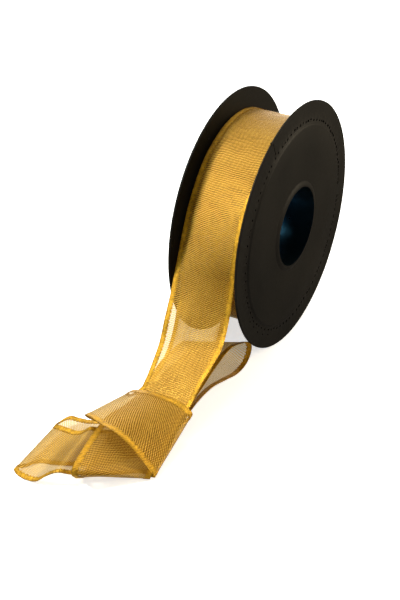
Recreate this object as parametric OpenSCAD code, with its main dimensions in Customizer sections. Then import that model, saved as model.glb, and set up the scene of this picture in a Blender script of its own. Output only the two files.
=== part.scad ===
// Ribbon spool: two snap-together flanges, a wound sheer ribbon with woven selvages,
// and the loose end that runs off the winding and folds up on the table.
// The spool axis is X and the origin is the middle of its bore. Z is up.

/* [Spool] */
// Outside diameter of both flanges
flange_d = 100; // [98:0.5:104]
// Gap between the flanges, inside
gap_w = 27; // [26.6:0.1:30]
// Thickness of a flange at its rim
rim_t = 0.95; // [0.8:0.05:1.6]
// Height of the raised inner zone over the rim
raised_h = 0.6; // [0.3:0.05:1.2]
// Diameter of the raised inner zone
raised_d = 82.2; // [70:0.2:90]

/* [Hub] */
// Diameter of the bore through the spool
bore_d = 32; // [28:0.5:33]
// How far the hub's lip stands out past the raised zone
lip_h = 0.6; // [0.4:0.05:1]
// Outside diameter of the barrel that the ribbon is wound on
barrel_d = 39; // [38:0.2:42]

/* [Ribbon] */
// Width of the ribbon
ribbon_w = 25; // [24:0.5:26]
// Width of the woven band along each edge of the ribbon
selvage_w = 2; // [1:0.25:4]
// Outside diameter of the wound ribbon
wound_d = 81.8; // [60:0.2:81.8]
// Thickness of the loose ribbon
ribbon_t = 0.3; // [0.2:0.05:0.3]

/* [Slit] */
// Width of the slit that holds the ribbon's end
slit_w = 0.4; // [0.3:0.1:1]
// Depth of the slit, in from the rim
slit_depth = 6; // [4:0.5:8]
// Where the slit is, in degrees back from the top
slit_angle = 26; // [0:1:90]

/* [Hidden] */

$fn = 128;
flange_r = flange_d / 2;
bore_r = bore_d / 2;
barrel_r = barrel_d / 2;
wound_r = wound_d / 2;
raised_r = raised_d / 2;
edge_bevel = 0.25;
step_run = 0.6;

// Planes across the axis, as distances from the middle
inner_x = gap_w / 2;
rim_x = inner_x + rim_t;
face_x = rim_x + raised_h;
lip_x = face_x + lip_h;

// The hub tube runs inside the barrel and ends in a bead that snaps over the near flange
tube_r = bore_r + 1.6;
socket_r = tube_r + 0.05;
bead_r = tube_r + 0.6;
lip_w = 1;

// Tape that holds the ribbon's inner end to the barrel
tape_t = 0.3;
tape_w = 18;
tape_angle = 50;

// Edges of the loose ribbon, from the top of the winding to the cut end.
// Each station is [right edge, left edge], each edge a point [x, y, z].
half_w = ribbon_w / 2;
on_table = 0.35 - flange_r;
off_r = 41.75;
function on_winding(angle, x) = [x, -off_r * cos(angle), off_r * sin(angle)];
start_run = [for (angle = [134, 116, 98, 80, 62, 48]) [on_winding(angle, half_w), on_winding(angle, -half_w)]];
drop_run = [
    [[12.5, -38.5, 24.5], [-12.5, -36, 21.5]],
    [[12.5, -43.5, 16], [-12.5, -41.5, 11.5]],
    [[12.5, -46.5, 6], [-12.5, -46.5, 0]],
    [[12.5, -48.5, -5.5], [-12.5, -51, -10]],
    [[12.5, -52, -17], [-12.5, -56.5, -20]],
    [[12.5, -57, -25], [-12.5, -60.5, -28]],
    [[12, -64, -29.5], [-12.5, -65, -33]],
    [[11, -71, -34], [-12.5, -70.5, -38]],
    [[10.5, -77, -38.5], [-13, -76, -42]]];
front_run = [
    [[10, -84, -41.5], [-13, -86, -41.5]],
    [[10.5, -94, -44.5], [-13, -98, -38.5]],
    [[11.5, -103, -47], [-11.5, -112, -38]],
    [[12, -109, -48.5], [-9, -127, -39]]];
front_fold = [
    [[12, -110.5, -49], [-8, -130, -40.5]],
    [[11.5, -109.5, on_table], [-8.5, -128.5, -43]],
    [[11, -104, on_table], [-10.5, -121, -49]],
    [[9.5, -93, on_table], [-13.5, -105, on_table]]];
low_loop = [
    [[8, -82, -47.5], [-15.5, -88, -49.5]],
    [[8, -70, -44.5], [-16, -74, -48.5]],
    [[8.5, -58, -44], [-16, -58, -48]],
    [[9.5, -48, -46], [-15.5, -48, -48.5]],
    [[9.5, -39, -49], [-16, -42, -49.5]],
    [[9.5, -32, on_table], [-16, -37, on_table]],
    [[9.5, -27.5, -48], [-16, -34, -49]],
    [[9.5, -25.5, -44.5], [-16, -33, -46.5]],
    [[9.5, -27, -41], [-16, -34.5, -44]],
    [[9.5, -33, -37.5], [-16, -39, -42.5]],
    [[9, -43, -34.5], [-15.5, -46, -41.5]],
    [[8.5, -54, -36.5], [-15.5, -55, -41.5]]];
left_run = [
    [[8, -66, -40.5], [-15.5, -66, -44.5]],
    [[7.5, -80, -44.5], [-16, -77, -46.5]],
    [[5.5, -96, -47.5], [-17.5, -84, -48]],
    [[-3, -109, -48.5], [-20, -90, -48]],
    [[-13, -116.5, -48.5], [-23.5, -93, -47.5]],
    [[-22, -119.5, -49.5], [-27, -95, -46.5]],
    [[-28, -121.5, -49.5], [-30.5, -96, -46]],
    [[-31.5, -126.5, -49.5], [-32.5, -99.5, -46.5]],
    [[-33, -129, -48.5], [-32.5, -102.5, -46]],
    [[-32, -131, -48], [-31.5, -104, -45]]];
top_run = [
    [[-29.5, -132, -48.5], [-29, -105, -44]],
    [[-26, -132, -49], [-25.5, -105.5, -43.5]],
    [[-22, -132, -48], [-21.5, -106, -43]],
    [[-18, -131.5, -44.5], [-18.5, -105.5, -42]],
    [[-14, -130, -42.5], [-15.5, -104.5, -40]],
    [[-10, -125, -45.5], [-11.5, -99.5, -43.5]],
    [[1.5, -116.5, -47], [-1, -91, -45]],
    [[8, -110, -48.5], [7, -84.5, -44.5]],
    [[12.5, -109.5, -49], [12, -81.5, -41]],
    [[13.5, -109.5, -48], [13, -81, -39.5]],
    [[11.5, -109.5, -46.5], [11, -80.5, -38]]];
wrap_run = [
    [[4.5, -108.5, -40.5], [6, -79.5, -37]],
    [[-3.5, -107.5, -36.5], [-0.5, -78.5, -37.5]],
    [[-11, -106.5, -35.5], [-6.5, -78, -38]],
    [[-15, -105.5, -35], [-11, -78, -39]],
    [[-18.5, -104, -36], [-14.5, -77.5, -40.5]],
    [[-19.5, -102.5, -38], [-16.5, -77, -42.5]],
    [[-17, -101.5, -39.5], [-16.5, -76, -44]]];
end_run = [
    [[-9, -98.5, -42], [-15.5, -74, -44]],
    [[2, -91.5, -43.5], [-14.5, -71, -43]],
    [[8.5, -81.5, -42.5], [-13.5, -66.5, -41.5]],
    [[9.5, -71, -37.5], [-12.5, -60, -38.5]],
    [[10, -62, -31], [-12.5, -53.5, -34]],
    [[10, -55.5, -26], [-12.5, -49.5, -28]],
    [[10, -51, -19.5], [-12.5, -46.5, -20.5]],
    [[10, -48, -11.5], [-12.5, -43.5, -13]],
    [[10, -46, -3.5], [-12.5, -42.5, -6]]];
route = concat(start_run, drop_run, front_run, front_fold, low_loop,
               left_run, top_run, wrap_run, end_run);

// The route as a smooth curve: a Catmull-Rom spline with this many steps a station
steps = 6;
last = len(route) - 1;
rings = last * steps;
function spline(a, b, c, d, t) =
    (2 * b + (c - a) * t + (2 * a - 5 * b + 4 * c - d) * t * t
    + (3 * b - a - 3 * c + d) * t * t * t) / 2;
function edge(side) = [
    for (i = [0 : last - 1], j = [0 : steps - 1])
        spline(route[max(i - 1, 0)][side], route[i][side], route[i + 1][side],
               route[min(i + 2, last)][side], j / steps),
    route[last][side]];
right_edge = edge(0);
left_edge = edge(1);

// A point and a face normal on the ribbon at ring i, at a share u of the way to the left
function along(line, i) = line[min(i + 1, rings)] - line[max(i - 1, 0)];
function mix(a, b, u) = a * (1 - u) + b * u;
function at(i, u) = mix(right_edge[i], left_edge[i], u);
function face(i, u) = cross(mix(along(right_edge, i), along(left_edge, i), u),
                            left_edge[i] - right_edge[i]);
function lift(i, u, side) = at(i, u) + face(i, u) * side * ribbon_t / 2 / norm(face(i, u));

// A solid strip of the loose ribbon between two shares of its width
module strip(u0, u1) {
    points = [for (i = [0 : rings]) each [lift(i, u0, 1), lift(i, u1, 1), lift(i, u1, -1), lift(i, u0, -1)]];
    walls = [for (i = [0 : rings - 1], k = [0 : 3])
        let (a = 4 * i + k, b = 4 * i + (k + 1) % 4)
        each k == 3 ? [[a, b, a + 4], [b, b + 4, a + 4]] : [[a, b, b + 4], [a, b + 4, a + 4]]];
    end = 4 * rings;
    caps = [[3, 2, 1], [3, 1, 0], [end, end + 1, end + 2], [end, end + 2, end + 3]];
    polyhedron(points = points, faces = concat(walls, caps), convexity = 10);
}

// A body turned about X from an outline of [radius, x] points
module turned(outline) {
    rotate([0, 90, 0])
        rotate_extrude()
            polygon(outline);
}

// A ring about X between two radii and two planes
module band(r0, r1, x0, x1) {
    turned([[r0, x0], [r1, x0], [r1, x1], [r0, x1]]);
}

// The flange at +X, with its raised inner zone outside
module flange(hole_r) {
    turned([[hole_r, inner_x], [flange_r - edge_bevel, inner_x], [flange_r, inner_x + edge_bevel],
            [flange_r, rim_x - edge_bevel], [flange_r - edge_bevel, rim_x], [raised_r, rim_x],
            [raised_r - step_run, face_x], [hole_r, face_x]]);
}

// The slit in from the rim, with a round end
module slit_cut() {
    rotate([slit_angle, 0, 0])
        translate([-2 * inner_x, 0, flange_r - slit_depth]) {
            translate([0, -slit_w / 2, 0])
                cube([4 * inner_x, slit_w, 2 * slit_depth]);
            rotate([0, 90, 0])
                cylinder(d = 2 * slit_w, h = 4 * inner_x, $fn = 32);
        }
}

module tape_body() {
    rotate([0, 90, 0])
        translate([0, 0, -tape_w / 2])
            rotate_extrude(angle = tape_angle)
                translate([barrel_r, 0])
                    square([tape_t, tape_w]);
}

module near_flange() {
    color("dimgray")
        difference() {
            union() {
                flange(socket_r);
                band(socket_r, barrel_r, -inner_x, inner_x + rim_t / 2);
            }
            slit_cut();
        }
}

module far_flange_hub() {
    color("black")
        difference() {
            union() {
                mirror([1, 0, 0])
                    flange(bore_r);
                turned([[bore_r, -lip_x], [bore_r + lip_w, -lip_x], [bead_r, -face_x],
                        [bead_r, -inner_x - rim_t / 2], [tube_r, -inner_x - rim_t / 2], [tube_r, face_x],
                        [bead_r, face_x], [bore_r + lip_w, lip_x], [bore_r, lip_x]]);
            }
            slit_cut();
        }
}

module start_tape() {
    color("ivory") tape_body();
}

module ribbon_winding() {
    color("goldenrod")
        difference() {
            band(barrel_r, wound_r, selvage_w - half_w, half_w - selvage_w);
            tape_body();
        }
}

module winding_selvage_near() {
    color("gold") band(barrel_r, wound_r, half_w - selvage_w, half_w);
}

module winding_selvage_far() {
    color("gold") band(barrel_r, wound_r, -half_w, selvage_w - half_w);
}

selvage_share = selvage_w / ribbon_w;

module tail_ribbon() {
    color("goldenrod") strip(selvage_share, 1 - selvage_share);
}

module tail_selvage_right() {
    color("gold") strip(0, selvage_share);
}

module tail_selvage_left() {
    color("gold") strip(1 - selvage_share, 1);
}

near_flange();
far_flange_hub();
start_tape();
ribbon_winding();
winding_selvage_near();
winding_selvage_far();
tail_ribbon();
tail_selvage_right();
tail_selvage_left();
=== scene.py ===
"""A spool of sheer gold ribbon: its loose end runs off the winding and lies folded on the table.

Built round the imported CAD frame. Outlines are in millimetres and become metres in make_mesh.
The spool's axis is X, its bore is centred on the origin, and it stands on its flange rims.
"""
import math
import random

import bmesh
import bpy
import numpy as np
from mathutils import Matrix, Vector


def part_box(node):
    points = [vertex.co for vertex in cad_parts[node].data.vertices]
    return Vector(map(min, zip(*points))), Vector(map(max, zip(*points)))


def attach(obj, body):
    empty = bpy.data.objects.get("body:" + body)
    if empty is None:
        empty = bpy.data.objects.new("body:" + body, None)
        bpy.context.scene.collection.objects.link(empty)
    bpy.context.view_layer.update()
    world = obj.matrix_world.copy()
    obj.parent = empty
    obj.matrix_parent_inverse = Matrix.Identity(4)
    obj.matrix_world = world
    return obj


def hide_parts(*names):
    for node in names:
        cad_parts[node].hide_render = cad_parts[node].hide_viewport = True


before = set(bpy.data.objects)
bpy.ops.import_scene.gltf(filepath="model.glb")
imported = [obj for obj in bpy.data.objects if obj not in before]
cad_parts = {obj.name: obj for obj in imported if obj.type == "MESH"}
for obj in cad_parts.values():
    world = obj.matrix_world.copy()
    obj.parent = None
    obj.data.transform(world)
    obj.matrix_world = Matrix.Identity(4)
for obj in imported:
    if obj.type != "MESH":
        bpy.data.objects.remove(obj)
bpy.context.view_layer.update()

MM = 0.001


# ---------------------------------------------------------------- sizes, from the frame
def size_of(node):
    """A node's lowest and highest corner in millimetres."""
    low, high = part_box(node)
    return low / MM, high / MM


_, flange_high = size_of("near_flange")
_, hub_high = size_of("far_flange_hub")
_, wound_high = size_of("ribbon_winding")
band_low, band_high = size_of("winding_selvage_near")

FLANGE_R = flange_high.z
WOUND_R = wound_high.z
LIP_X = hub_high.x
FACE_X = flange_high.x
RIBBON_W = 2 * band_high.x
SELVAGE_W = band_high.x - band_low.x
FLOOR_Z = -FLANGE_R

# Radii of the bore, the hub tube, its bead, its socket, the barrel and the raised zone, as in part.scad
BORE_R = 16.0
TUBE_R = 17.6
BEAD_R = 18.2
SOCKET_R = TUBE_R + 0.05
BARREL_R = 19.5
RAISED_R = 41.1
# The ring of pits lies between the raised zone and this radius
PITTED_R = 46.0
# A flange's inner face and its rim's outer face
INNER_X = 13.5
RIM_X = 14.45
# The slit in from the rim, in degrees back from the top
SLIT_W = 0.4
SLIT_DEPTH = 6.0
SLIT_ANGLE = 26

# The loose ribbon's route, as in part.scad: right edge, then left edge, in millimetres
ON_TABLE = FLOOR_Z + 0.35
DROP_RUN = [
    [(12.5, -38.5, 24.5), (-12.5, -36, 21.5)],
    [(12.5, -43.5, 16), (-12.5, -41.5, 11.5)],
    [(12.5, -46.5, 6), (-12.5, -46.5, 0)],
    [(12.5, -48.5, -5.5), (-12.5, -51, -10)],
    [(12.5, -52, -17), (-12.5, -56.5, -20)],
    [(12.5, -57, -25), (-12.5, -60.5, -28)],
    [(12, -64, -29.5), (-12.5, -65, -33)],
    [(11, -71, -34), (-12.5, -70.5, -38)],
    [(10.5, -77, -38.5), (-13, -76, -42)],
]
FRONT_RUN = [
    [(10, -84, -41.5), (-13, -86, -41.5)],
    [(10.5, -94, -44.5), (-13, -98, -38.5)],
    [(11.5, -103, -47), (-11.5, -112, -38)],
    [(12, -109, -48.5), (-9, -127, -39)],
]
FRONT_FOLD = [
    [(12, -110.5, -49), (-8, -130, -40.5)],
    [(11.5, -109.5, ON_TABLE), (-8.5, -128.5, -43)],
    [(11, -104, ON_TABLE), (-10.5, -121, -49)],
    [(9.5, -93, ON_TABLE), (-13.5, -105, ON_TABLE)],
]
LOW_LOOP = [
    [(8, -82, -47.5), (-15.5, -88, -49.5)],
    [(8, -70, -44.5), (-16, -74, -48.5)],
    [(8.5, -58, -44), (-16, -58, -48)],
    [(9.5, -48, -46), (-15.5, -48, -48.5)],
    [(9.5, -39, -49), (-16, -42, -49.5)],
    [(9.5, -32, ON_TABLE), (-16, -37, ON_TABLE)],
    [(9.5, -27.5, -48), (-16, -34, -49)],
    [(9.5, -25.5, -44.5), (-16, -33, -46.5)],
    [(9.5, -27, -41), (-16, -34.5, -44)],
    [(9.5, -33, -37.5), (-16, -39, -42.5)],
    [(9, -43, -34.5), (-15.5, -46, -41.5)],
    [(8.5, -54, -36.5), (-15.5, -55, -41.5)],
]
LEFT_RUN = [
    [(8, -66, -40.5), (-15.5, -66, -44.5)],
    [(7.5, -80, -44.5), (-16, -77, -46.5)],
    [(5.5, -96, -47.5), (-17.5, -84, -48)],
    [(-3, -109, -48.5), (-20, -90, -48)],
    [(-13, -116.5, -48.5), (-23.5, -93, -47.5)],
    [(-22, -119.5, -49.5), (-27, -95, -46.5)],
    [(-28, -121.5, -49.5), (-30.5, -96, -46)],
    [(-31.5, -126.5, -49.5), (-32.5, -99.5, -46.5)],
    [(-33, -129, -48.5), (-32.5, -102.5, -46)],
    [(-32, -131, -48), (-31.5, -104, -45)],
]
TOP_RUN = [
    [(-29.5, -132, -48.5), (-29, -105, -44)],
    [(-26, -132, -49), (-25.5, -105.5, -43.5)],
    [(-22, -132, -48), (-21.5, -106, -43)],
    [(-18, -131.5, -44.5), (-18.5, -105.5, -42)],
    [(-14, -130, -42.5), (-15.5, -104.5, -40)],
    [(-10, -125, -45.5), (-11.5, -99.5, -43.5)],
    [(1.5, -116.5, -47), (-1, -91, -45)],
    [(8, -110, -48.5), (7, -84.5, -44.5)],
    [(12.5, -109.5, -49), (12, -81.5, -41)],
    [(13.5, -109.5, -48), (13, -81, -39.5)],
    [(11.5, -109.5, -46.5), (11, -80.5, -38)],
]
WRAP_RUN = [
    [(4.5, -108.5, -40.5), (6, -79.5, -37)],
    [(-3.5, -107.5, -36.5), (-0.5, -78.5, -37.5)],
    [(-11, -106.5, -35.5), (-6.5, -78, -38)],
    [(-15, -105.5, -35), (-11, -78, -39)],
    [(-18.5, -104, -36), (-14.5, -77.5, -40.5)],
    [(-19.5, -102.5, -38), (-16.5, -77, -42.5)],
    [(-17, -101.5, -39.5), (-16.5, -76, -44)],
]
END_RUN = [
    [(-9, -98.5, -42), (-15.5, -74, -44)],
    [(2, -91.5, -43.5), (-14.5, -71, -43)],
    [(8.5, -81.5, -42.5), (-13.5, -66.5, -41.5)],
    [(9.5, -71, -37.5), (-12.5, -60, -38.5)],
    [(10, -62, -31), (-12.5, -53.5, -34)],
    [(10, -55.5, -26), (-12.5, -49.5, -28)],
    [(10, -51, -19.5), (-12.5, -46.5, -20.5)],
    [(10, -48, -11.5), (-12.5, -43.5, -13)],
    [(10, -46, -3.5), (-12.5, -42.5, -6)],
]

# The last turn on the winding, which the loose ribbon runs on from
TURN_R = WOUND_R + 0.85
TURN_GROWTH = 0.4
TURN_ANGLES = [48, 62, *range(80, 401, 20), 408]


def on_winding(angle, x):
    """A point on the outermost turn; it spirals in by one ribbon's thickness a turn."""
    radius = TURN_R - TURN_GROWTH * (angle - TURN_ANGLES[0]) / 360
    a = math.radians(angle)
    return (x, -radius * math.cos(a), radius * math.sin(a))


TURN_RUN = [[on_winding(a, RIBBON_W / 2), on_winding(a, -RIBBON_W / 2)] for a in reversed(TURN_ANGLES)]
ROUTE = (TURN_RUN + DROP_RUN + FRONT_RUN + FRONT_FOLD + LOW_LOOP + LEFT_RUN + TOP_RUN + WRAP_RUN + END_RUN)


# ---------------------------------------------------------------- mesh helpers
def make_mesh(name, points, faces, body, material, uvs=None, smooth=True):
    """A new object from points in millimetres, riding on a CAD body. uvs holds one pair a point."""
    mesh = bpy.data.meshes.new(name)
    mesh.from_pydata([tuple(c * MM for c in p) for p in points], [], faces)
    mesh.validate()
    if uvs is not None:
        layer = mesh.uv_layers.new(name="Weave")
        for loop in mesh.loops:
            layer.data[loop.index].uv = uvs[loop.vertex_index]
    for polygon in mesh.polygons:
        polygon.use_smooth = smooth
    piece = bpy.data.objects.new(name, mesh)
    bpy.context.scene.collection.objects.link(piece)
    mesh.materials.append(material)
    if body:
        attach(piece, body)
    return piece


def lathe(outline, segments=256):
    """Points and faces of a closed outline of (radius, x) turned about X."""
    count = len(outline)
    points, faces = [], []
    for i in range(segments):
        a = 2 * math.pi * i / segments
        points += [(x, -r * math.cos(a), r * math.sin(a)) for r, x in outline]
    for i in range(segments):
        j = (i + 1) % segments
        for k in range(count):
            m = (k + 1) % count
            faces.append((i * count + k, i * count + m, j * count + m, j * count + k))
    return points, faces


def outward(piece):
    """Makes a closed mesh's faces point out."""
    mesh = bmesh.new()
    mesh.from_mesh(piece.data)
    bmesh.ops.recalc_face_normals(mesh, faces=mesh.faces)
    mesh.to_mesh(piece.data)
    mesh.free()


def sharpen(piece, degrees=35):
    """Smooth shading with creases where faces meet at more than this angle."""
    piece.data.set_sharp_from_angle(angle=math.radians(degrees))


# ---------------------------------------------------------------- material helpers
class Graph:
    """Builds a material's nodes, with short calls for the maths."""

    def __init__(self, name):
        self.material = bpy.data.materials.new(name)
        self.material.use_nodes = True
        self.tree = self.material.node_tree
        self.shader = self.tree.nodes["Principled BSDF"]
        self.output = self.tree.nodes["Material Output"]

    def node(self, kind, settings=None, **inputs):
        """A new node, with its properties and its inputs; an underscore stands for a space."""
        made = self.tree.nodes.new(kind)
        for key, value in (settings or {}).items():
            setattr(made, key, value)
        for key, value in inputs.items():
            self.plug(made.inputs[key.replace("_", " ")], value)
        return made

    def plug(self, socket, value):
        """Links a socket to another node's output, or sets it to a constant."""
        if isinstance(value, bpy.types.NodeSocket):
            self.tree.links.new(value, socket)
        else:
            socket.default_value = value

    def math(self, operation, *values):
        """One step of arithmetic on numbers or outputs."""
        made = self.tree.nodes.new("ShaderNodeMath")
        made.operation = operation
        for i, value in enumerate(values):
            self.plug(made.inputs[i], value)
        return made.outputs[0]

    def set(self, **inputs):
        """Sets the principled shader's inputs."""
        for key, value in inputs.items():
            self.plug(self.shader.inputs[key.replace("_", " ")], value)

    def mix(self, share, a, b):
        """Colour a turning into colour b as the share goes from 0 to 1."""
        made = self.tree.nodes.new("ShaderNodeMix")
        made.data_type = "RGBA"
        self.plug(made.inputs[0], share)
        self.plug(made.inputs[6], a)
        self.plug(made.inputs[7], b)
        return made.outputs[2]

    def noise(self, vector, scale, detail=3.0):
        """Soft noise from 0 to 1."""
        made = self.node("ShaderNodeTexNoise", Vector=vector, Scale=scale, Detail=detail)
        return made.outputs["Fac"]

    def cosine(self, value, pitch):
        """A cosine of that pitch, from -1 to 1."""
        return self.math("COSINE", self.math("MULTIPLY", value, 2 * math.pi / pitch))

    def bump(self, height, strength, distance):
        """Raises the principled shader's surface by a height."""
        made = self.node("ShaderNodeBump", Height=height, Strength=strength, Distance=distance)
        self.plug(self.shader.inputs["Normal"], made.outputs["Normal"])


def weave_coordinates(g):
    """Across and along the ribbon, in millimetres."""
    uv = g.node("ShaderNodeUVMap", {"uv_map": "Weave"})
    split = g.node("ShaderNodeSeparateXYZ", Vector=uv.outputs[0])
    return uv.outputs[0], split.outputs[0], split.outputs[1]


def wave(g, value, pitch):
    """A cosine of that pitch, from 0 to 1."""
    return g.math("MULTIPLY_ADD", g.cosine(value, pitch), 0.5, 0.5)


# ---------------------------------------------------------------- materials
GOLD_DEEP = (0.23, 0.09, 0.001, 1)
GOLD_LIGHT = (0.72, 0.42, 0.05, 1)
GAP_PITCH = 0.82
THREAD_PITCH = 0.24
RIB_PITCH = 0.8
CORD_PITCH = 0.5
HOLE_RANGE = (("From Min", -0.5), ("From Max", 0.3), ("To Min", 0.05))


def sheer_material(name, openness, deep, light):
    """Organza: fine crossed threads, and staggered rows of gaps between them that let the view through."""
    g = Graph(name)
    uv, across, along = weave_coordinates(g)
    slow = g.noise(uv, 0.09)
    worn = g.noise(uv, 0.55, 2.0)
    wander = g.math("MULTIPLY", slow, 2.4)
    column = g.math("ADD", across, wander)
    row = g.math("MULTIPLY_ADD", across, 0.5, along)
    gaps = g.math("MULTIPLY", g.cosine(column, GAP_PITCH), g.cosine(row, GAP_PITCH))
    threads = g.math("MAXIMUM", wave(g, across, THREAD_PITCH), wave(g, along, THREAD_PITCH))
    tone = g.math("MULTIPLY_ADD", gaps, -1.15, 0.16)
    tone = g.math("MULTIPLY_ADD", threads, 0.14, tone)
    tone = g.math("MULTIPLY_ADD", g.math("SUBTRACT", slow, 0.5), 0.9, tone)
    tone = g.math("MULTIPLY_ADD", g.math("SUBTRACT", worn, 0.5), 0.15, tone)
    colour = g.mix(tone, deep, light)
    g.set(Base_Color=colour, Metallic=0.6, Roughness=0.36)
    g.bump(g.math("MULTIPLY_ADD", gaps, -0.6, threads), 0.5, 0.00008)
    back = g.node("ShaderNodeBsdfTranslucent", Color=colour)
    body = g.node("ShaderNodeMixShader", Fac=0.14)
    g.plug(body.inputs[1], g.shader.outputs[0])
    g.plug(body.inputs[2], back.outputs[0])
    if openness:
        hole = g.node("ShaderNodeMapRange", {"interpolation_type": "SMOOTHSTEP"}, Value=gaps)
        for socket, value in (*HOLE_RANGE, ("To Max", openness)):
            hole.inputs[socket].default_value = value
        clear = g.node("ShaderNodeBsdfTransparent", Color=(0.74, 0.69, 0.52, 1))
        sheet = g.node("ShaderNodeMixShader")
        g.plug(sheet.inputs[0], hole.outputs[0])
        g.plug(sheet.inputs[1], body.outputs[0])
        g.plug(sheet.inputs[2], clear.outputs[0])
        g.plug(g.output.inputs[0], sheet.outputs[0])
    else:
        g.plug(g.output.inputs[0], body.outputs[0])
    return g.material


def selvage_material():
    """Dense satin edge: fine ribs across the band, threads of differing tone, and bright flecks that are
    partly painted glints.
    """
    g = Graph("gold_selvage_weave")
    uv, across, along = weave_coordinates(g)
    rib = wave(g, g.math("MULTIPLY_ADD", across, 0.5, along), RIB_PITCH)
    middle = g.cosine(across, SELVAGE_W)
    cord = wave(g, across, CORD_PITCH)
    worn = g.noise(uv, 0.25)
    # Bright flecks: partly thread tone, partly painted glints of the satin's sheen
    flecks_and_painted_glints = g.noise(uv, 1.1, 1.0)
    tone = g.math("MULTIPLY_ADD", rib, 0.16, -0.47)
    tone = g.math("MULTIPLY_ADD", middle, -0.12, tone)
    tone = g.math("MULTIPLY_ADD", flecks_and_painted_glints, 1.1, tone)
    tone = g.math("MULTIPLY_ADD", worn, 0.9, tone)
    colour = g.mix(tone, (0.11, 0.045, 0.001, 1), (0.62, 0.33, 0.02, 1))
    g.set(Base_Color=colour, Metallic=0.5, Roughness=0.34, Specular_IOR_Level=0.2)
    g.bump(g.math("MULTIPLY_ADD", cord, 0.6, rib), 0.6, 0.00014)
    return g.material


def tape_material():
    """Clear adhesive tape gone faintly yellow, with small wrinkles."""
    g = Graph("clear_tape")
    where = g.node("ShaderNodeTexCoord").outputs["Object"]
    colour = g.mix(g.noise(where, 200.0), (0.55, 0.49, 0.34, 1), (0.72, 0.67, 0.52, 1))
    g.set(Base_Color=colour, Roughness=0.2)
    g.bump(g.noise(where, 500.0), 0.3, 0.0001)
    return g.material


def plastic_material(name, base, rough, specular):
    """Moulded black plastic: faint flow marks, fine scuffs and a soft sheen."""
    g = Graph(name)
    where = g.node("ShaderNodeTexCoord").outputs["Object"]
    flow = g.noise(where, 45.0, 4.0)
    scuff = g.noise(where, 900.0, 2.0)
    dust = g.noise(where, 2500.0, 0.0)
    pale = tuple(c * 3 for c in base[:3]) + (1,)
    g.set(Base_Color=g.mix(flow, base, pale), Specular_IOR_Level=specular)
    scuffed = g.math("MULTIPLY_ADD", scuff, 0.08, rough)
    g.set(Roughness=g.math("ADD", g.math("MULTIPLY", flow, 0.12), scuffed))
    g.bump(g.math("MULTIPLY_ADD", dust, 0.25, flow), 0.25, 0.00018)
    return g.material


SHEER = sheer_material("sheer_gold_organza", 0.72, GOLD_DEEP, GOLD_LIGHT)
# The wound organza is a darker copy of the loose organza: partly the dark depth of many sheer layers, partly
# painted shade under the loose ribbon
PACKED_DEPTH_AND_SHADE = sheer_material("wound_organza_depth_and_painted_shade", 0, (0.10, 0.05, 0.003, 1), (0.34, 0.18, 0.015, 1))
SELVAGE = selvage_material()
BLACK = plastic_material("satin_black_plastic", (0.0035, 0.003, 0.0022, 1), 0.42, 0.06)
# The bore's black is shinier than the moulding; its faint blue base and teal specular tint are a painted
# teal reflection
BORE_GLOSS_PAINTED_TEAL = plastic_material("gloss_black_painted_teal_reflection", (0.0006, 0.0012, 0.0016, 1), 0.2, 0.5)
# Pits: a darker black with no specular, painted shade in the hollows
PIT_PAINTED_SHADE = plastic_material("pit_black_painted_shade", (0.0008, 0.0007, 0.0006, 1), 0.8, 0.0)
BORE_GLOSS_PAINTED_TEAL.node_tree.nodes["Principled BSDF"].inputs["Specular Tint"].default_value = (0.12, 0.55, 0.9, 1)
tape = bpy.data.objects["start_tape"]
tape.data.materials.clear()
tape.data.materials.append(tape_material())


# ---------------------------------------------------------------- spool
def flange_outline(side, hole_r):
    """The flange's section: flat inside, a rim, a ring step up to the raised zone, all with soft edges."""
    soft = 0.25
    outline = [(hole_r, INNER_X), (FLANGE_R - soft, INNER_X), (FLANGE_R, INNER_X + soft),
               (FLANGE_R, RIM_X - soft), (FLANGE_R - soft, RIM_X), (PITTED_R, RIM_X),
               (RAISED_R + 0.15, RIM_X), (RAISED_R, RIM_X + 0.1), (RAISED_R - 0.5, FACE_X - 0.08),
               (RAISED_R - 0.8, FACE_X), (30.0, FACE_X), (hole_r, FACE_X)]
    return [(r, side * x) for r, x in outline]


def slit_cutter():
    """The slit's shape through a flange: a narrow slot with a round inner end."""
    half, end_r, reach, past_rim = SLIT_W / 2, SLIT_W, 20, 4
    base = FLANGE_R - SLIT_DEPTH
    outline = [(half, FLANGE_R + past_rim), (-half, FLANGE_R + past_rim)]
    steps = 20
    start = math.asin(half / end_r)
    for i in range(steps + 1):
        a = math.pi / 2 + start + (2 * math.pi - 2 * start) * i / steps
        outline.append((end_r * math.cos(a), base + end_r * math.sin(a)))
    tilt = math.radians(SLIT_ANGLE)
    points = []
    for x in (-reach, reach):
        for y, z in outline:
            back = y * math.cos(tilt) - z * math.sin(tilt)
            up = y * math.sin(tilt) + z * math.cos(tilt)
            points.append((x, back, up))
    count = len(outline)
    faces = [tuple(range(count)), tuple(range(2 * count - 1, count - 1, -1))]
    faces += [(k, (k + 1) % count, count + (k + 1) % count, count + k) for k in range(count)]
    cutter = make_mesh("cutter", points, faces, None, BLACK, smooth=False)
    outward(cutter)
    return cutter


def combine(piece, tool, operation):
    """Takes the tool's shape out of a piece, or joins it on."""
    modifier = piece.modifiers.new("combine", "BOOLEAN")
    modifier.object = tool
    modifier.operation = operation
    modifier.solver = "EXACT"
    bpy.context.view_layer.update()
    graph = bpy.context.evaluated_depsgraph_get()
    mesh = bpy.data.meshes.new_from_object(piece.evaluated_get(graph))
    piece.modifiers.clear()
    piece.data = mesh
    bpy.data.objects.remove(tool)


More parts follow.
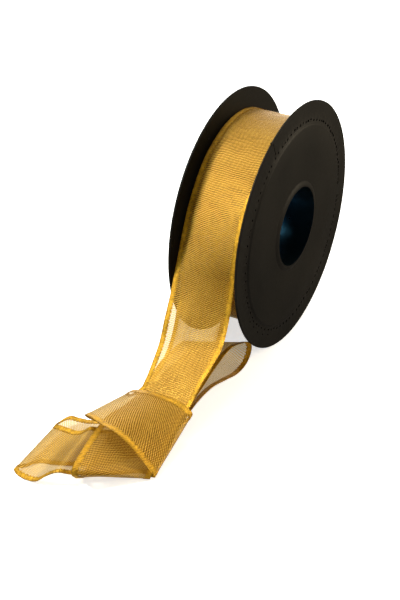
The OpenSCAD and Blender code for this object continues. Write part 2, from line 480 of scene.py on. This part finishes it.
def beads(places):
    """Small ellipsoids, each (angle, radius, x, half length round, half length outward, half depth)."""
    points, faces = [], []
    rings, spokes = 5, 10
    for angle, radius, x, along, out, depth in places:
        base = len(points)
        a = math.radians(angle)
        radial = Vector((0, math.cos(a), math.sin(a)))
        tangent = Vector((0, -math.sin(a), math.cos(a)))
        centre = radial * radius + Vector((x, 0, 0))
        points.append(centre + Vector((depth, 0, 0)))
        for i in range(1, rings + 1):
            u = math.pi * i / (rings + 1)
            for k in range(spokes):
                v = 2 * math.pi * k / spokes
                spot = tangent * along * math.cos(v) + radial * out * math.sin(v)
                points.append(centre + spot * math.sin(u) + Vector((depth * math.cos(u), 0, 0)))
        points.append(centre - Vector((depth, 0, 0)))
        end = len(points) - 1
        for k in range(spokes):
            m = (k + 1) % spokes
            faces.append((base, base + 1 + k, base + 1 + m))
            faces.append((end, end - spokes + m, end - spokes + k))
            for i in range(rings - 1):
                row = base + 1 + i * spokes
                faces.append((row + k, row + spokes + k, row + spokes + m, row + m))
    tool = make_mesh("tool", points, faces, None, BLACK)
    outward(tool)
    return tool


# The moulding nib on the near flange's rim, as beads() takes it
NIB = (116.7, FLANGE_R + 0.2, 14.1, 0.6, 1.1, 0.35)


def pit_places():
    """Small moulding pits just outside the raised zone, irregular and closer together on one side."""
    dice = random.Random(7)
    places = []
    angle = 0.0
    while angle < 352:
        close = 0.5 + 0.5 * math.cos(math.radians(angle - 10))
        places.append((angle, RAISED_R + 1.3 + dice.uniform(-0.25, 0.35), RIM_X,
                       dice.uniform(0.35, 0.6) + 0.35 * close, dice.uniform(0.32, 0.5), 0.6))
        angle += dice.uniform(3.4, 5.6) - 1.4 * close
    for angle in (212, 219, 226, 234, 241):
        places.append((angle, RAISED_R + 3.4 + dice.uniform(-0.3, 0.3), RIM_X, 0.45, 0.35, 0.5))
    return places


def spool_piece(name, outline, node):
    """One half of the spool, with the slit through its flange, in place of a CAD node."""
    points, faces = lathe(outline)
    piece = make_mesh(name, points, faces, "spool", BLACK)
    outward(piece)
    combine(piece, slit_cutter(), "DIFFERENCE")
    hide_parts(node)
    return piece


def paint_pit_shade(piece):
    """The pits get a darker black with no shine: painted shade in the hollows."""
    piece.data.materials.append(PIT_PAINTED_SHADE)
    for polygon in piece.data.polygons:
        middle = polygon.center / MM
        radius = math.hypot(middle.y, middle.z)
        if RIM_X - 0.7 < middle.x < RIM_X - 0.01 and RAISED_R + 0.3 < radius < PITTED_R:
            polygon.material_index = 1


def gloss_bore(piece):
    """The bore's wall is a shinier black than the moulding round it, with a painted teal tint on its
    reflections.
    """
    piece.data.materials.append(BORE_GLOSS_PAINTED_TEAL)
    for polygon in piece.data.polygons:
        middle = polygon.center / MM
        if math.hypot(middle.y, middle.z) < BORE_R + 0.1:
            polygon.material_index = 1


near_outline = flange_outline(1, SOCKET_R)
near_outline[0:1] = [(SOCKET_R, -INNER_X), (BARREL_R, -INNER_X), (BARREL_R, INNER_X)]
near = spool_piece("near_flange_moulding", near_outline, "near_flange")
combine(near, beads(pit_places()), "DIFFERENCE")
combine(near, beads([NIB]), "UNION")
sharpen(near)
paint_pit_shade(near)

far_outline = [(BORE_R, -LIP_X), (BORE_R + 0.6, -LIP_X), (BORE_R + 1, -LIP_X + 0.1), (BEAD_R, -FACE_X)]
far_outline += list(reversed(flange_outline(-1, BEAD_R + 0.3)))[:-1]
far_outline += [(TUBE_R, -INNER_X), (TUBE_R, FACE_X), (BEAD_R, FACE_X), (BORE_R + 1, LIP_X - 0.1),
                (BORE_R + 0.6, LIP_X), (BORE_R, LIP_X)]
far = spool_piece("far_flange_moulding", far_outline, "far_flange_hub")
sharpen(far)
gloss_bore(far)


# ---------------------------------------------------------------- winding
PACK_R = BARREL_R + 0.05
RIDGE_STEPS = 48
RIDGE_DEPTH = 0.12
PACK_SEGMENTS = 192


def ridged_end(x, inward):
    """The edges of the wound turns: fine ridges down one end face."""
    fall = WOUND_R - PACK_R
    return [(WOUND_R - fall * k / RIDGE_STEPS, x + (inward if k % 2 else 0)) for k in range(RIDGE_STEPS + 1)]


def wound_piece(name, outline, material, node):
    """A ring of wound ribbon from its section, in place of a CAD node."""
    points, faces = lathe(outline, PACK_SEGMENTS)
    uvs = []
    for i in range(PACK_SEGMENTS):
        for r, x in outline:
            uvs.append((x + RIBBON_W / 2 + (WOUND_R - r), 2 * math.pi * WOUND_R * i / PACK_SEGMENTS))
    piece = make_mesh(name, points, faces, "spool", material, uvs)
    outward(piece)
    sharpen(piece)
    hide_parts(node)


# A pack of organza between two dense selvage bands
edge = RIBBON_W / 2
seam = edge - SELVAGE_W
pack = [(PACK_R, -seam), (WOUND_R, -seam), (WOUND_R, seam), (PACK_R, seam)]
near_band = [(PACK_R, seam), (WOUND_R, seam), *ridged_end(edge, -RIDGE_DEPTH)]
far_band = [(PACK_R, -seam), (WOUND_R, -seam), *ridged_end(-edge, RIDGE_DEPTH)]
wound_piece("wound_organza", pack, PACKED_DEPTH_AND_SHADE, "ribbon_winding")
wound_piece("wound_selvage_near", near_band, SELVAGE, "winding_selvage_near")
wound_piece("wound_selvage_far", far_band, SELVAGE, "winding_selvage_far")


# ---------------------------------------------------------------- loose ribbon
def spline(points, steps):
    """A smooth curve through the points: Catmull-Rom, with that many steps between two points."""
    p = np.array(points, float)
    last = len(p) - 1
    out = []
    for i in range(last):
        a, b, c, d = p[max(i - 1, 0)], p[i], p[i + 1], p[min(i + 2, last)]
        for j in range(steps):
            t = j / steps
            out.append((2 * b + (c - a) * t + (2 * a - 5 * b + 4 * c - d) * t ** 2
                        + (3 * b - a - 3 * c + d) * t ** 3) / 2)
    out.append(p[last])
    return np.array(out)


def respace(right, left, pitch):
    """Both edges at an even pitch along the ribbon's middle, and that distance for each row."""
    middle = (right + left) / 2
    run = np.concatenate([[0], np.cumsum(np.linalg.norm(np.diff(middle, axis=0), axis=1))])
    rows = int(run[-1] / pitch)
    at = np.linspace(0, run[-1], rows + 1)
    pick = lambda edge: np.stack([np.interp(at, run, edge[:, k]) for k in range(3)], axis=1)
    return pick(right), pick(left), at


SPLINE_STEPS = 16
ROW_PITCH = 0.7
RIGHT, LEFT, RUN = respace(spline([s[0] for s in ROUTE], SPLINE_STEPS),
                           spline([s[1] for s in ROUTE], SPLINE_STEPS), ROW_PITCH)
ROWS = len(RUN)


def normals(share):
    """The ribbon's face normal in each row, at a share of the way from its right edge."""
    along = np.gradient(RIGHT, axis=0) * (1 - share) + np.gradient(LEFT, axis=0) * share
    n = np.cross(along, LEFT - RIGHT)
    return n / np.linalg.norm(n, axis=1)[:, None]


def rail(share):
    """The line along the ribbon at a share of its width."""
    return RIGHT * (1 - share) + LEFT * share


def loose_organza():
    """The sheer part of the loose ribbon, one thin sheet."""
    columns = 16
    start = 0.5 * SELVAGE_W / RIBBON_W
    shares = np.linspace(start, 1 - start, columns + 1)
    grid = np.stack([rail(s) for s in shares], axis=1)
    points = [tuple(p) for p in grid.reshape(-1, 3)]
    uvs = [(s * RIBBON_W, run) for run in RUN for s in shares]
    w = columns + 1
    faces = [(i * w + k, i * w + k + 1, (i + 1) * w + k + 1, (i + 1) * w + k)
             for i in range(ROWS - 1) for k in range(columns)]
    piece = make_mesh("loose_organza", points, faces, "ribbon_tail", SHEER, uvs)
    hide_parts("tail_ribbon")
    return piece


def loose_selvage(name, node, side):
    """The dense band on one edge, a thin solid with a toothed inner side."""
    share = SELVAGE_W / RIBBON_W
    tooth = 0.25 / RIBBON_W
    inset = np.where(np.arange(ROWS) % 2 == 0, share + tooth, share - tooth)
    half_t = 0.16
    # (share of the band's width, share of half its thickness); None is the toothed inner side
    section = [(0.0, -0.6), (0.0, 0.6), (0.012, 1.0), (0.5, 1.0),
               (None, 0.8), (None, -0.8), (0.5, -1.0), (0.012, -1.0)]
    rings = []
    for part, lift in section:
        s = inset if part is None else np.full(ROWS, part * share)
        s = s if side > 0 else 1 - s
        centre = RIGHT * (1 - s)[:, None] + LEFT * s[:, None]
        rings.append(centre + normals(0.0 if side > 0 else 1.0) * lift * half_t)
    grid = np.stack(rings, axis=1)
    count = len(section)
    points = [tuple(p) for p in grid.reshape(-1, 3)]
    uvs = [((1.0 if part is None else part) * SELVAGE_W, run) for run in RUN for part, lift in section]
    faces = [(i * count + k, i * count + (k + 1) % count,
              (i + 1) * count + (k + 1) % count, (i + 1) * count + k)
             for i in range(ROWS - 1) for k in range(count)]
    faces += [tuple(range(count)), tuple(range((ROWS - 1) * count, ROWS * count))]
    piece = make_mesh(name, points, faces, "ribbon_tail", SELVAGE, uvs)
    outward(piece)
    sharpen(piece, 60)
    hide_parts(node)
    return piece


organza = loose_organza()
right_band = loose_selvage("loose_selvage_right", "tail_selvage_right", 1)
left_band = loose_selvage("loose_selvage_left", "tail_selvage_left", -1)


# ---------------------------------------------------------------- stage, light and camera
FLOOR_HALF = 9000
FLOOR_DROP = 0.02


def floor():
    """A plain pale floor just under the flange rims."""
    material = bpy.data.materials.new("pale_floor")
    material.use_nodes = True
    shader = material.node_tree.nodes["Principled BSDF"]
    shader.inputs["Base Color"].default_value = (0.8, 0.8, 0.8, 1)
    shader.inputs["Roughness"].default_value = 1.0
    shader.inputs["Specular IOR Level"].default_value = 0.0
    shader.inputs["Emission Color"].default_value = (1, 1, 1, 1)
    shader.inputs["Emission Strength"].default_value = 0.66
    half, z = FLOOR_HALF, FLOOR_Z - FLOOR_DROP
    points = [(-half, -half, z), (half, -half, z), (half, half, z), (-half, half, z)]
    plane = make_mesh("floor", points, [(0, 1, 2, 3)], None, material, smooth=False)
    plane.visible_glossy = False


# Name, place in metres, size in metres, power in watts, colour
LIGHTS = [
    ("key", (-0.6, -0.6, 0.8), 0.25, 20, (1, 0.98, 0.94)),
    ("sky", (-0.5, 0.1, 1.0), 0.5, 6, (1, 1, 1)),
    ("fill", (0.5, -0.7, 0.9), 0.6, 1.6, (1, 0.96, 0.88)),
    ("top", (-0.1, 0.5, 0.9), 0.5, 4, (1, 0.98, 0.94)),
    ("side", (0.35, 0.3, 0.1), 0.2, 2.5, (1, 0.86, 0.62)),
    ("back", (-0.45, 1.0, 0.15), 0.8, 5, (1, 1, 1)),
    ("glint", (-0.55, -0.8, 0.45), 0.15, 1.2, (0.1, 0.6, 0.9)),
]


def area_light(name, place, size, power, colour):
    """A square soft light at a place in metres, aimed at the spool."""
    data = bpy.data.lights.new(name, "AREA")
    data.size = size
    data.energy = power
    data.color = colour
    lamp = bpy.data.objects.new(name, data)
    lamp.location = place
    lamp.rotation_euler = (-Vector(place)).to_track_quat("-Z", "Y").to_euler()
    bpy.context.scene.collection.objects.link(lamp)


# The camera's place in metres, the way it looks, and its lens in millimetres
EYE = (0.2141, -0.4464, 0.2707)
AIM = (-0.4038, 0.7453, -0.5305)
LENS = 84.94


def camera():
    """The camera at the photograph's viewing angle."""
    data = bpy.data.cameras.new("camera")
    data.lens = LENS
    data.sensor_width = 36
    data.clip_start = 0.01
    data.clip_end = 20
    eye = bpy.data.objects.new("camera", data)
    eye.location = EYE
    eye.rotation_euler = Vector(AIM).to_track_quat("-Z", "Y").to_euler()
    bpy.context.scene.collection.objects.link(eye)
    bpy.context.scene.camera = eye


floor()
world = bpy.data.worlds.new("studio")
bpy.context.scene.world = world
world.use_nodes = True
glow = world.node_tree.nodes["Background"]
glow.inputs["Color"].default_value = (1.0, 0.96, 0.88, 1)
glow.inputs["Strength"].default_value = 0.14
for light in LIGHTS:
    area_light(*light)
camera()

view = bpy.context.scene.view_settings
view.view_transform = "Standard"
